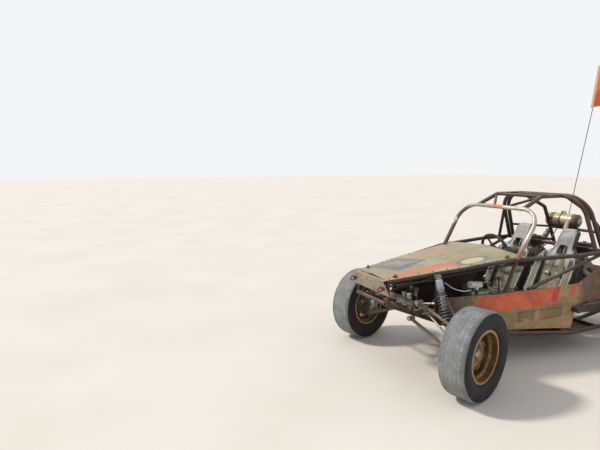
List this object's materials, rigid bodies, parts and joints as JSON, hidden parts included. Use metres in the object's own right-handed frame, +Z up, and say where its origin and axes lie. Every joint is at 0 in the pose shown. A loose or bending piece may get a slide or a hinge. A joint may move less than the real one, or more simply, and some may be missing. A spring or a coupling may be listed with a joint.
{
  "type": "dune buggy",
  "caption": "Two-seat tube-frame dune buggy with open cage, faded hood and side panels, steered front wheels, rear engine and whip flag.",
  "frame": {"origin": "middle of the plan on the ground under the wheels", "axes": "front faces -Y, left side is +X, +Z up"},
  "size_m": [1.8452, 3.336, 2.8509],
  "materials": {
    "alloy": "cast alloy, oily and dusty",
    "arm_silver": "light silver-grey tube, dusty",
    "bare_steel": "machined and dusty",
    "black_trim": "matt black",
    "exhaust_steel": "heat-browned steel",
    "flag_cloth": "orange woven cloth",
    "frame_tube": "dark maroon-brown paint, worn and rusty",
    "hood_paint": "faded sage green with orange stripes, dusty",
    "nose_paint": "dusty tan",
    "panel": "faded tan and orange-red paint, dented",
    "polished": "polished spun alloy",
    "rim_gold": "bronze-gold painted steel",
    "screen_tube": "bare worn tube with one orange-red patch",
    "seat_vinyl": "grey face with black sides",
    "sheet_steel": "dull sheet, dusty",
    "spring_grey": "light grey coated coil",
    "tyre": "dusty grey tread, black wall"
  },
  "bodies": {
    "chassis": {"air_filters": "black_trim", "braces": "frame_tube", "carburettors": "alloy", "control_arms": "arm_silver", "cross_bars": "frame_tube", "cylinder_banks": "alloy", "dampers": "bare_steel", "dash": "black_trim", "engine_case": "alloy", "engine_rails": "frame_tube", "exhaust": "exhaust_steel", "fan_drive": "alloy", "fan_shroud": "black_trim", "flag": "flag_cloth", "floor_pan": "sheet_steel", "fluid_reservoir": "spring_grey", "fuel_tank": "polished", "gauge_pod": "black_trim", "gear_lever": "bare_steel", "half_shafts": "bare_steel", "hood": "hood_paint", "lower_rails": "frame_tube", "main_hoop": "frame_tube", "nose_plate": "nose_paint", "pedals": "bare_steel", "rack_housing": "frame_tube", "rear_braces": "frame_tube", "rear_hoop": "frame_tube", "roof_rails": "frame_tube", "seat_frames": "sheet_steel", "seats": "seat_vinyl", "side_panels": "panel", "side_tubes": "frame_tube", "springs": "spring_grey", "steering_column": "frame_tube", "tow_eyes": "frame_tube", "trailing_arms": "frame_tube", "transaxle": "alloy", "upper_rails": "frame_tube", "whip_aerial": "frame_tube", "windscreen_hoop": "screen_tube"},
    "steering_rack": {"rack_and_tie_rods": "bare_steel"},
    "steering_wheel": {"steering_wheel": "black_trim"},
    "knuckle_left": {"knuckle_left": "frame_tube", "front_calliper_left": "bare_steel"},
    "wheel_front_left": {"front_tyre_left": "tyre", "front_rim_left": "rim_gold", "front_hub_left": "bare_steel"},
    "wheel_rear_left": {"rear_tyre_left": "tyre", "rear_rim_left": "rim_gold", "rear_hub_left": "bare_steel"},
    "knuckle_right": {"knuckle_right": "frame_tube", "front_calliper_right": "bare_steel"},
    "wheel_front_right": {"front_tyre_right": "tyre", "front_rim_right": "rim_gold", "front_hub_right": "bare_steel"},
    "wheel_rear_right": {"rear_tyre_right": "tyre", "rear_rim_right": "rim_gold", "rear_hub_right": "bare_steel"}
  },
  "joints": [
    {"name": "steer_left", "type": "hinge", "parent": "chassis", "child": "knuckle_left", "pos_m": [0.636, -1.164, 0.344], "axis": [0, 0, 1], "range_deg": [-45.5, 14.5]},
    {"name": "wheel_front_left_spin", "type": "hinge", "parent": "knuckle_left", "child": "wheel_front_left", "pos_m": [0.72273, -1.13995, 0.344], "axis": [0.9636, 0.2672, 0], "continuous": true},
    {"name": "wheel_rear_left_spin", "type": "hinge", "parent": "chassis", "child": "wheel_rear_left", "pos_m": [0.77, 1.258, 0.395], "axis": [1, 0, 0], "continuous": true},
    {"name": "steer_right", "type": "hinge", "parent": "chassis", "child": "knuckle_right", "pos_m": [-0.636, -1.164, 0.344], "axis": [0, 0, 1], "range_deg": [-45.7, 14.7]},
    {"name": "wheel_front_right_spin", "type": "hinge", "parent": "knuckle_right", "child": "wheel_front_right", "pos_m": [-0.72273, -1.18805, 0.344], "axis": [0.9636, 0.2672, 0], "continuous": true},
    {"name": "wheel_rear_right_spin", "type": "hinge", "parent": "chassis", "child": "wheel_rear_right", "pos_m": [-0.77, 1.258, 0.395], "axis": [1, 0, 0], "continuous": true},
    {"name": "rack_slide", "type": "slide", "parent": "chassis", "child": "steering_rack", "axis": [1, 0, 0], "range_m": [-0.08381, 0.02698]},
    {"name": "steering_wheel_turn", "type": "hinge", "parent": "chassis", "child": "steering_wheel", "pos_m": [-0.27, 0.16, 0.875], "axis": [0, 0.9411, 0.3382], "range_deg": [-410.5, 131.5]}
  ],
  "couplings": [
    {"joint": "steer_right", "follows": "steer_left", "ratio": 1},
    {"joint": "rack_slide", "follows": "steer_left", "m_per_rad": 0.10504},
    {"joint": "steering_wheel_turn", "follows": "steer_left", "ratio": 9}
  ]
}
